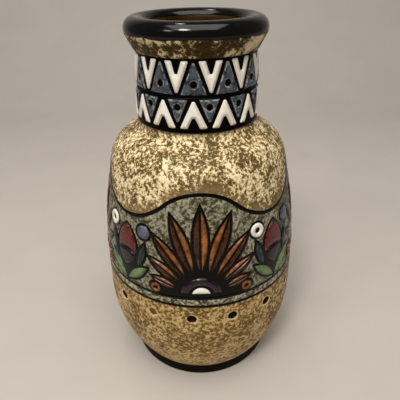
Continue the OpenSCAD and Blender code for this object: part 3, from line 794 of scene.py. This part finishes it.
flare = ragged(spun("flare_glaze", flare_side(0, 0) + flare_side(GLAZE, 0.4 * MM)[::-1], 320))
settle(flare, flare_with_painted_shade)
low_lip, high_lip = arc_points(RIM_C, ROLL + 0.3 * MM, RIM_STOP, MOUTH_STOP, 1)
rim_outer = arc(RIM_C, ROLL + GLAZE, RIM_STOP + 0.05, MOUTH_STOP - 0.06, 0.6 * MM)
rim_inner = arc(RIM_C, ROLL, MOUTH_STOP, RIM_STOP, 0.8 * MM)
rim = ragged(spun("rim_glaze", [low_lip] + rim_outer + [high_lip] + rim_inner, 320))
settle(rim, black_gloss)

# %% [markdown]
# The honey lining follows the inside of the clay from the floor to the mouth and a little way round the
# roll, up to the black glaze. Its outline starts and ends on the axis, so the floor closes in one point when
# it is spun.

# %% Lining
LINING = 0.6 * MM
FLOOR_Z = 10 * MM


def lining_side(out, floor):
    """Inside outline from the axis along the floor and up to the mouth."""
    start = wall_line(-out, floor, NECK_Z, 4 * MM)
    floor_points = [(start[0][0] * i / 6, floor) for i in range(6)]
    mouth = arc(RIM_C, ROLL + out - WALL, math.pi, MOUTH_STOP, 0.6 * MM)
    return floor_points + start + [(NECK_TOP_R - out, NECK_TOP_Z)] + mouth


lining_section = lining_side(WALL, FLOOR_Z) + lining_side(WALL + LINING, FLOOR_Z + LINING)[::-1]
lining = spun("lining_glaze", lining_section, 160, open_ends=True)
settle(lining, honey_with_painted_shade)

# %% [markdown]
# Every enamel cell is drawn flat, as a pattern on paper. Its outline becomes a face, which is extruded
# and then inset three times, a little higher each time, so the edge rolls over softly like thick
# enamel. Modelling the cells straight on the curved wall would make every outline twice as hard.

# %% Raised cells
ENAMEL = 0.9 * MM
CROWN = 0.4 * MM
ROLL_STEPS = [(0.12, 0.18), (0.2, 0.13), (0.32, 0.07)]


def raised_cell(name, outline, share=1.0):
    """A flat outline in XZ extruded towards the front, with a rolled edge, narrower where it would fold."""
    cell = drawn_loop(name, [(x, 0, z) for x, z in outline], "NGON")
    edit(cell)
    bpy.ops.mesh.normals_make_consistent(inside=False)
    if cell.data.polygons[0].normal.y > 0:
        bpy.ops.mesh.flip_normals()
    rise = ENAMEL - CROWN - sum(lift for _, lift in ROLL_STEPS) * MM
    bpy.ops.mesh.extrude_region_move(TRANSFORM_OT_translate={"value": (0, -rise, 0)})
    for inset, lift in ROLL_STEPS:
        bpy.ops.mesh.inset(thickness=inset * share * MM, depth=lift * MM)
    only(cell)
    folded = sum(1 for face in cell.data.polygons if face.normal.y > 0.02) - 1
    if folded > 0 and share > 0.3:
        bpy.data.objects.remove(cell)
        return raised_cell(name, outline, share * 0.8)
    if share < 1.0:
        print(name, "cell with rolls of", round(share, 2))
    return cell


print("enamel", round(ENAMEL / MM, 2), "mm thick")

# %% [markdown]
# Bisect slices the flat cells into a fine net, so that they can bend and so that their middle can be
# raised to a crown. Then every vertex is moved back on to the wall, which presses the cells on like a
# transfer. The distance from the outline is kept on the mesh for the finish.

# %% Slicing and pressing
CROWN_REACH = 2.4 * MM


def sliced(piece, across, up):
    """Cuts a flat piece into strips of about these sizes."""
    corners = np.array([v.co for v in piece.data.vertices])
    low, high = corners.min(0), corners.max(0)
    edit(piece)
    for axis, size in ((0, across), (2, up)):
        count = max(1, math.ceil((high[axis] - low[axis]) / size))
        for k in range(1, count):
            spot = [0.0, 0.0, 0.0]
            spot[axis] = low[axis] + (high[axis] - low[axis]) * k / count
            square = [1.0 if i == axis else 0.0 for i in range(3)]
            bpy.ops.mesh.select_all(action="SELECT")
            bpy.ops.mesh.bisect(plane_co=spot, plane_no=square)
    only(piece)
    return piece


def edge_distance(piece):
    """Distance of every vertex of flat cells from the outline of its cell."""
    points = np.array([v.co for v in piece.data.vertices])
    starts, ends = [], []
    for face in piece.data.polygons:
        if abs(face.normal.y) < 0.1:
            low = [i for i in face.vertices if abs(points[i][1]) < 1e-6]
            starts += low[:-1]
            ends += low[1:]
    flat = points[:, [0, 2]]
    nearest = np.full(len(flat), np.inf)
    for start, along in zip(flat[starts], flat[ends] - flat[starts]):
        share = np.clip((flat - start) @ along / max(along @ along, 1e-18), 0, 1)
        nearest = np.minimum(nearest, ((flat - start - share[:, None] * along) ** 2).sum(1))
    return np.sqrt(nearest)


def pressed(piece, radius_at, seat, crown=CROWN):
    """Raises the crown of flat cells and bends them on to the wall, with their foot at a distance out."""
    heights = np.array([-v.co.y for v in piece.data.vertices])
    away = edge_distance(piece)
    share = 1 - (1 - np.minimum(1, away / CROWN_REACH)) ** 2
    on_top = heights > heights.max() - 1e-6
    heights[on_top] += crown * share[on_top]
    mark = piece.data.attributes.new("edge_away", "FLOAT", "POINT")
    mark.data.foreach_set("value", away / MM)
    for vertex, height in zip(piece.data.vertices, heights):
        x, _, z = vertex.co
        r = radius_at(z, seat + height)
        vertex.co.y = -math.sqrt(r * r - x * x)
    return tidy_solid(piece, 50)


print("crown", round(CROWN / MM, 2), "mm")

# %% [markdown]
# Round the neck run two rows. In the upper one slate triangles stand on their base between white chevrons
# that point down, and the lower row is the other way up. The brush rounded the chevrons and the tips of the
# triangles, and only the feet of the triangles stay sharp.


# %% Outlines of the neck cells
def rounded(corners, radii, points=4):
    """A polygon with its corners rounded, apart from those with a radius of nought."""
    outline = []
    for k, corner in enumerate(corners):
        if not radii[k]:
            outline.append(tuple(corner))
            continue
        here = Vector(corner)
        before = Vector(corners[k - 1]) - here
        after = Vector(corners[(k + 1) % len(corners)]) - here
        half = before.angle(after) / 2
        reach = min(radii[k] / math.tan(half), 0.45 * before.length, 0.45 * after.length)
        start = here + before.normalized() * reach
        end = here + after.normalized() * reach
        for i in range(points + 1):
            t = i / points
            outline.append(tuple((1 - t) ** 2 * start + 2 * t * (1 - t) * here + t * t * end))
    return outline


TIP = 0.7 * MM


def chevron(width, height, notch_w, notch_h):
    """Chevron with its tip at the foot and a rounded notch at the top."""
    side = [(TIP, 0), (width / 2, height), (notch_w / 2, height), (TIP, height - notch_h)]
    radii = [0.7 * MM, 0.8 * MM, 0.8 * MM, 1.2 * MM]
    return rounded(side + [(-x, z) for x, z in side[::-1]], radii + radii[::-1])


def triangle(width, height):
    """Triangle standing on its base."""
    corners = [(-width / 2, 0), (width / 2, 0), (TIP, height), (-TIP, height)]
    return rounded(corners, [0, 0, 0.7 * MM, 0.7 * MM])


print("tips of the cells", round(2 * TIP / MM, 2), "mm wide")

# %% [markdown]
# The dimples were pressed into the triangles with a round tool. A flared cutter takes each one out of the
# flat cell after slicing and before bending, so the black ground shows at the bottom and the lip stays
# soft. Then the cell is pressed on the neck and copied round it.

# %% Neck cells
DIMPLE = 1.75
DIMPLE_CUTTER = in_mm([(0, -0.2), (DIMPLE, -0.2), (DIMPLE, 0.45), (DIMPLE + 0.15, 0.7),
                       (DIMPLE + 0.6, 0.95), (DIMPLE + 0.6, 2), (0, 2)])
UPPER_COUNT, UPPER_TURN = 12, -3.2
LOWER_COUNT, LOWER_TURN = 13, -3.7
TIP_GAP = 1 * MM
UPPER_Z = GROOVE_Z + GROOVE_H / 2
UPPER_H = NECK_TOP_Z - 1.2 * MM - UPPER_Z
LOWER_TOP = GROOVE_Z - GROOVE_H / 2
LOWER_H = LOWER_TOP - NECK_Z - 2.5 * MM
neck_round = 2 * math.pi * ((NECK_R + NECK_TOP_R) / 2 + GLAZE + ENAMEL)
upper_pitch = neck_round / UPPER_COUNT
lower_pitch = neck_round / LOWER_COUNT
print("neck rows repeat every", round(upper_pitch / MM, 2), "and", round(lower_pitch / MM, 2), "mm")


def neck_row(node, outline, z, way, count, turn, slot, dimple=None):
    """A cell drawn up (1) or down (-1) from a height, dimpled where asked, and copied round the neck."""
    cell = raised_cell(node, [(x, z + way * h) for x, h in outline])
    sliced(cell, 1.3 * MM, 1.5 * MM)
    if dimple:
        carved(cell, front_spin("dimple_cutter", DIMPLE_CUTTER, 25, z + way * dimple))
    pressed(cell, neck_r, GLAZE)
    row = ring_copies(cell, [turn + 360 / count * k for k in range(count)])
    settle(row, enamels[slot])


upper_v = chevron(upper_pitch - 5.8 * MM, UPPER_H - TIP_GAP, 5.2 * MM, 6.4 * MM)
neck_row("upper_chevrons", upper_v, UPPER_Z + TIP_GAP, 1, UPPER_COUNT, UPPER_TURN + 180 / UPPER_COUNT,
         "white_enamel")
lower_v = chevron(lower_pitch - 2.2 * MM, LOWER_H - TIP_GAP, 6.8 * MM, 5.6 * MM)
neck_row("lower_chevrons", lower_v, LOWER_TOP - TIP_GAP, -1, LOWER_COUNT, LOWER_TURN, "white_enamel")
upper_t_h = UPPER_H - 0.7 * MM
upper_t = triangle(upper_pitch - 4.6 * MM, upper_t_h)
neck_row("upper_triangles", upper_t, UPPER_Z, 1, UPPER_COUNT, UPPER_TURN, "slate_enamel", upper_t_h / 3)
lower_t_h = LOWER_H - 3.4 * MM
lower_t = triangle(lower_pitch - 6.1 * MM, lower_t_h)
neck_row("lower_triangles", lower_t, LOWER_TOP, -1, LOWER_COUNT, LOWER_TURN + 180 / LOWER_COUNT,
         "slate_enamel", lower_t_h / 3)

# %% [markdown]
# The frieze repeats a fan of nine leaves on a cup, and a bud with leaves and two roundels. All of it is
# drawn in millimetres from the foot of the panel and fitted to the panel's real size. A leaf is two
# arcs that meet in points. Few points near the tips keep the insets from crossing there.

# %% Leaf outlines
VEIN = 1.0
FAN_FOOT = 2.0
LEAF_START = 16
LEAF_PITCH = 18
PANEL_W = 2 * math.pi * wall_r((PANEL_Z + CREST_Z) / 2, GLAZE) / REPEATS
DRAWN_W, DRAWN_H = 97.5, 66.1
FIT = min(PANEL_W / DRAWN_W, (CREST_Z - PANEL_Z) / DRAWN_H) / MM


def lens_side(length, width, side, cut=0.0, grow=0.0, count=8):
    """One side of a leaf from its foot to its tip, where it meets a line at x = cut."""
    q = (length ** 2 + width ** 2) / (4 * width)
    offset = q - width / 2
    end = math.acos((cut + offset) / (q + grow))
    return [(side * x, y) for x, y in arc_points((-offset, 0), q + grow, -end, end, count)]


def lens(length, width, grow=0.0, count=8):
    """Whole leaf outline along y, centred."""
    right = lens_side(length, width, 1, 0.0, grow, count)
    return right + [(-x, y) for x, y in right[-2:0:-1]]


def half_lens(length, width, side):
    """Half of a veined leaf."""
    return lens_side(length, width, side, VEIN / 2)[::side]


def put(outline, x, y, turn=0.0):
    """An outline turned and moved."""
    c, s = math.cos(math.radians(turn)), math.sin(math.radians(turn))
    return [(x + c * a - s * b, y + s * a + c * b) for a, b in outline]


def leaf_size(i):
    """Length and width of leaf number i of a fan."""
    length = 28 + 28 * math.cos(math.radians(LEAF_PITCH * i)) ** 2 - LEAF_START
    return length, 3 + 0.135 * length


def at_leaf(outline, i):
    """An outline set at leaf number i of a fan."""
    raised = put(outline, 0, LEAF_START + leaf_size(i)[0] / 2)
    return put(raised, 0, FAN_FOOT, -LEAF_PITCH * i)


def on_panel(outline):
    """Drawn millimetres turned into metres on the panel."""
    return [(x * FIT * MM, PANEL_Z + y * FIT * MM) for x, y in outline]


print("motif scale", round(FIT, 4))

# %% [markdown]
# All cells of one colour in a fan or bud are joined while flat, sliced together and pressed on once.
# Then the motif is copied to its four places.

# %% Fans of leaves
FAN_TURNS = [360 / REPEATS * k for k in range(REPEATS)]
BUD_TURNS = [turn + 180 / REPEATS for turn in FAN_TURNS]
LEAVES = range(-4, 5)


def on_frieze(cells, turns, across=1.7, up=1.7, seat=GLAZE, crown=CROWN):
    """Flat cells joined, sliced to sizes in millimetres, pressed on the frieze and copied round it."""
    flat = sliced(merged(cells), across * MM, up * MM)
    return ring_copies(pressed(flat, wall_r, seat, crown), turns)


def frieze_cells(node, outlines, turns, slot, finish=None):
    """Raised cells from drawn outlines, put on the frieze."""
    cells = [raised_cell(node, on_panel(outline)) for outline in outlines]
    settle(on_frieze(cells, turns), enamels[finish or slot])


ochre_halves = [at_leaf(half_lens(*leaf_size(i), -1 if i > 0 else 1), i) for i in LEAVES]
rust_halves = [at_leaf(half_lens(*leaf_size(i), 1 if i > 0 else -1), i) for i in LEAVES]
frieze_cells("fan_leaves_ochre", ochre_halves, FAN_TURNS, "ochre_enamel")
frieze_cells("fan_leaves_rust", rust_halves, FAN_TURNS, "rust_enamel")

# %% [markdown]
# At the foot of each fan a purple cup holds a white eye. Both are bows cut off by one base line.

# %% Cups and eyes
CUP_BASE = 1.2
CUP_R, CUP_HOLE_R, EYE_R = 12.4, 7.4, 5.6


def bow(foot, radius, start, count):
    """Top of a circle from its right to its left, from an angle on."""
    return arc_points((0, foot), radius, start, math.pi - start, count)


def cup_bow(radius, count):
    """Arc of a cup above its base line."""
    return bow(FAN_FOOT, radius, math.asin(CUP_BASE / radius), count)


cup = cup_bow(CUP_R, 20) + cup_bow(CUP_HOLE_R, 14)[::-1]
frieze_cells("fan_cups", [cup], FAN_TURNS, "purple_enamel")
frieze_cells("fan_eyes", [cup_bow(EYE_R, 14)], FAN_TURNS, "white_enamel")

# %% [markdown]
# A bud is a fat leaf shape. A circle divides it into a red petal above and a purple calyx below, with a
# black vein between them. The law of cosines gives the angle where circle and bud meet.

# %% Buds
BUD_H, BUD_W, BUD_LIFT = 29.0, 16.5, 11.5
CALYX_R = 13.0
calyx_y = BUD_LIFT + BUD_H * 0.42 - CALYX_R
bud_y = BUD_LIFT + BUD_H / 2
bud_q = (BUD_H ** 2 + BUD_W ** 2) / (4 * BUD_W)
tip_a = math.asin(BUD_H / 2 / bud_q)


def bud_side(start, end, count):
    """Right side of the bud between two angles."""
    return arc_points((BUD_W / 2 - bud_q, bud_y), bud_q, start, end, count)


def bud_meets(radius):
    """Angle on the bud's right side where a calyx circle of a radius meets it."""
    apart = math.hypot(bud_q - BUD_W / 2, calyx_y - bud_y)
    lean = math.atan2(calyx_y - bud_y, bud_q - BUD_W / 2)
    return lean + math.acos((bud_q ** 2 + apart ** 2 - radius ** 2) / (2 * bud_q * apart))


def calyx_bow(radius, meet):
    """Top of a calyx circle from the bud's right side to its left side."""
    x, y = bud_side(meet, meet, 1)[0]
    return bow(calyx_y, radius, math.atan2(y - calyx_y, x), 8)[1:-1]


petal_meet = bud_meets(CALYX_R + VEIN)
calyx_meet = bud_meets(CALYX_R)
petal_side = bud_side(petal_meet, tip_a, 8)
petal = petal_side + [(-x, y) for x, y in petal_side[-2::-1]] + calyx_bow(CALYX_R + VEIN, petal_meet)[::-1]
calyx_side = bud_side(-tip_a, calyx_meet, 6)
calyx = calyx_side + calyx_bow(CALYX_R, calyx_meet) + [(-x, y) for x, y in calyx_side[:0:-1]]
frieze_cells("bud_petals", [petal], BUD_TURNS, "red_enamel")
frieze_cells("bud_calyxes", [calyx], BUD_TURNS, "purple_enamel")

# %% [markdown]
# Two pairs of leaves stand beside each bud, pale green ones low and teal ones at its sides. One table holds
# their length, width, place and lean, because the black ground needs the same leaves again, a little larger.

# %% Leaves beside the buds
SIDES = (-1, 1)
BUD_LEAVES = {"low_leaves": (20, 6, 8.6, 8.8, 50), "side_leaves": (17, 4.8, 12, 22.6, 14)}


def bud_leaf(node, side, *grown):
    """A leaf beside a bud, grown where asked."""
    length, width, x, y, lean = BUD_LEAVES[node]
    return put(lens(length, width, *grown), side * x, y, -lean * side)


for node, slot in (("low_leaves", "pale_green_enamel"), ("side_leaves", "teal_enamel")):
    frieze_cells(node, [bud_leaf(node, side) for side in SIDES], BUD_TURNS, slot)

# %% [markdown]
# Rings are spun: a small section with rounded shoulders turns about the middle of the ring, flat on the
# panel, before it is pressed on like the other cells. The slate disc is an ordinary raised cell.

# %% Rings and discs
ROUNDEL_R, ROUNDEL_X, ROUNDEL_Y = 4.4, 13.2, 39
SMALL_R, SMALL_X, SMALL_Y = 3.1, 27.5, 4.4
HOLE = 0.42
RING_SHOULDER = in_mm([(0.0, 0.0), (0.0, 0.42), (0.10, 0.66), (0.26, 0.82), (0.55, 0.9)])


def ring_cell(name, radius, x, y):
    """A flat ring with a rolled section at a drawn place."""
    outer = radius * FIT * MM
    section = [(outer - a, -b) for a, b in RING_SHOULDER]
    section += [(outer * HOLE + a, -b) for a, b in RING_SHOULDER[::-1]]
    ring = spun(name, section, 36, axis=(0, 1, 0))
    place = on_panel([(x, y)])[0]
    ring.data.transform(Matrix.Translation((place[0], 0, place[1])))
    return ring


def frieze_rings(rings, turns, slot):
    """Flat rings put on the frieze."""
    settle(on_frieze(rings, turns, 2.4, 9, crown=0), enamels[slot])


def disc(radius, x, y):
    """Drawn circle at a place."""
    return arc_points((x, y), radius, 0, 2 * math.pi, 28)[:-1]


frieze_rings([ring_cell("white_rings", ROUNDEL_R, -ROUNDEL_X, ROUNDEL_Y)], BUD_TURNS, "white_enamel")
small_rings = [ring_cell("ochre_rings", SMALL_R, side * SMALL_X, SMALL_Y) for side in SIDES]
frieze_rings(small_rings, FAN_TURNS, "ochre_enamel")
slate_disc = disc(ROUNDEL_R, ROUNDEL_X, ROUNDEL_Y)
frieze_cells("slate_discs", [slate_disc], BUD_TURNS, "slate_enamel", "disc_slate")

# %% [markdown]
# Under the cells lies the black ground: every shape grown by the width of the outline and melted into
# one. The shapes are made as thin plates, and an exact Boolean joins them. The plates stand a hair proud
# of the grey glaze, as a trailed outline does.

# %% Black grounds of the motifs
OUTLINE = 1.5
GROWN = (OUTLINE, 12)
FAN_BACK_R, BUD_BACK_R = 27, 9
STALK_W = 1.8
PLATE_FOOT = 0.5 * MM


def clipped(outline, floor):
    """An outline cut off flat below a height."""
    kept = []
    for k, (x, y) in enumerate(outline):
        px, py = outline[k - 1]
        if (y >= floor) != (py >= floor):
            t = (floor - py) / (y - py)
            kept.append((px + t * (x - px), floor))
        if y >= floor:
            kept.append((x, y))
    return kept


def stalk(length, y, turn):
    """A straight stalk from a foot on the middle line."""
    half = STALK_W / 2
    return put([(-half, 0), (half, 0), (half, length), (-half, length)], 0, y, turn)


def plate(name, outline, top):
    """A thin flat plate with a top at a height above the clay."""
    made = drawn_loop(name, [(x, 0, z) for x, z in on_panel(outline)], "NGON")
    edit(made)
    bpy.ops.mesh.extrude_region_move(TRANSFORM_OT_translate={"value": (0, -(top - PLATE_FOOT), 0)})
    bpy.ops.mesh.select_all(action="SELECT")
    bpy.ops.mesh.normals_make_consistent(inside=False)
    only(made)
    return made


def black_ground(name, outlines, turns, top):
    """Plates melted into one and put on the frieze."""
    whole, *others = [plate(name, outline, top) for outline in outlines]
    for other in others:
        carved(whole, other, "UNION")
    edit(whole)
    bpy.ops.mesh.dissolve_limited(angle_limit=math.radians(1))
    only(whole)
    piece = on_frieze([whole], turns, 1.6, 1.6, PLATE_FOOT, 0)
    settle(piece, black_satin, "motif_grounds")


fan_shapes = [clipped(disc(FAN_BACK_R, 0, FAN_FOOT), -1)]
fan_shapes += [at_leaf(lens(*leaf_size(i), *GROWN), i) for i in LEAVES]
fan_shapes += [disc(SMALL_R + OUTLINE, side * SMALL_X, SMALL_Y) for side in SIDES]
bud_shapes = [put(lens(BUD_H, BUD_W, *GROWN), 0, bud_y), stalk(BUD_LIFT + 3, -1, 0)]
bud_shapes += [disc(BUD_BACK_R, 0, BUD_LIFT + 3)]
for side in SIDES:
    bud_shapes += [bud_leaf(node, side, *GROWN) for node in BUD_LEAVES]
    bud_shapes += [disc(ROUNDEL_R + OUTLINE, side * ROUNDEL_X, ROUNDEL_Y), stalk(13, 6, -44 * side)]
black_ground("motif_grounds", fan_shapes, FAN_TURNS, GLAZE + 0.12 * MM)
black_ground("motif_grounds_buds", bud_shapes, BUD_TURNS, GLAZE + 0.09 * MM)

# %% [markdown]
# The clay itself keeps its CAD mesh. Only its bare standing ring and the hollow under the foot show, so
# it just gets the buff clay finish.

# %% Clay
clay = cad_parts["clay_body"]
clay.data.materials.clear()
clay.data.materials.append(bare_clay)
print("clay faces", len(clay.data.polygons))

# %% [markdown]
# The vase stands on a plain pale floor that bends up into a backdrop, so no corner shows. A wide soft
# light hangs above and in front. Small ones stand at the left, at the front left and behind, because the
# black rim mirrors them as sparks. A dim even sky fills the shadows.

# %% Floor and lights
BEND = 0.35
FLOOR_HALF = 1.6
sweep = [(-1.2, 0.0)] + arc_points((0.5, BEND), BEND, -math.pi / 2, 0, 12) + [(0.85, 1.9)]
only(None)
bpy.ops.mesh.primitive_grid_add(x_subdivisions=1, y_subdivisions=len(sweep) - 1, size=1)
floor = bpy.context.object
floor.name = "floor"
for k, vertex in enumerate(floor.data.vertices):
    vertex.co = (FLOOR_HALF if k % 2 else -FLOOR_HALF, *sweep[k // 2])
bpy.ops.object.shade_smooth()
floor_finish, floor_shader, floor_spot = new_finish("pale_floor")
floor_colour = ramp(noise(floor_spot, 60), [(0.3, (195, 188, 180)), (0.7, (199, 192, 184))])
fill(floor_shader, {"Base Color": floor_colour, "Roughness": 0.75})
floor.data.materials.append(floor_finish)


def soft_box(name, place, aim, width, height, power):
    """An area lamp at a place, turned to an aim."""
    lamp = bpy.data.lights.new(name, "AREA")
    lamp.shape = "RECTANGLE"
    lamp.size = width
    lamp.size_y = height
    lamp.energy = power
    lamp.color = (1.0, 0.965, 0.92)
    holder = bpy.data.objects.new(name, lamp)
    bpy.context.collection.objects.link(holder)
    holder.location = place
    holder.rotation_euler = (Vector(aim) - Vector(place)).to_track_quat("-Z", "Y").to_euler()


soft_box("lamp_left", (-0.62, -0.54, 0.84), (0, 0, 0.13), 0.15, 0.15, 0.9)
soft_box("lamp_front", (-0.27, -0.62, 1.0), (0, 0, 0.13), 0.2, 0.2, 4.6)
soft_box("lamp_above", (0.01, -0.3, 1.15), (0.01, 0, 0.13), 1.05, 0.9, 9.8)
soft_box("lamp_behind", (-0.16, 0.35, 1.14), (0, 0, 0.2), 0.08, 0.08, 0.6)
sky = bpy.context.scene.world or bpy.data.worlds.new("sky")
bpy.context.scene.world = sky
sky.use_nodes = True
fill(sky.node_tree.nodes["Background"], {"Color": (1.0, 0.98, 0.95, 1.0), "Strength": 0.13})
bpy.context.scene.view_settings.view_transform = "Standard"
print("floor, four lamps and sky")

# %% [markdown]
# The camera was close, a little above the rim and tipped down by about thirty degrees, with a very small
# roll. A close camera makes the rim look large and the foot small, so distance matters as much as angle.

# %% Camera
CAMERA_PLACE = (-0.0014, -0.2388, 0.2533)
PITCH, YAW, CAMERA_ROLL = math.radians(30.24), math.radians(0.49), math.radians(-0.94)
lens_data = bpy.data.cameras.new("photo_camera")
lens_data.sensor_width = 36
lens_data.lens = 36.67
lens_data.clip_start = 0.01
camera = bpy.data.objects.new("photo_camera", lens_data)
bpy.context.collection.objects.link(camera)
tipped = Matrix.Rotation(-YAW, 4, "Z") @ Matrix.Rotation(math.pi / 2 - PITCH, 4, "X")
camera.matrix_world = Matrix.Translation(CAMERA_PLACE) @ tipped @ Matrix.Rotation(CAMERA_ROLL, 4, "Z")
bpy.context.scene.camera = camera
print("camera at", tuple(round(v, 4) for v in camera.location))
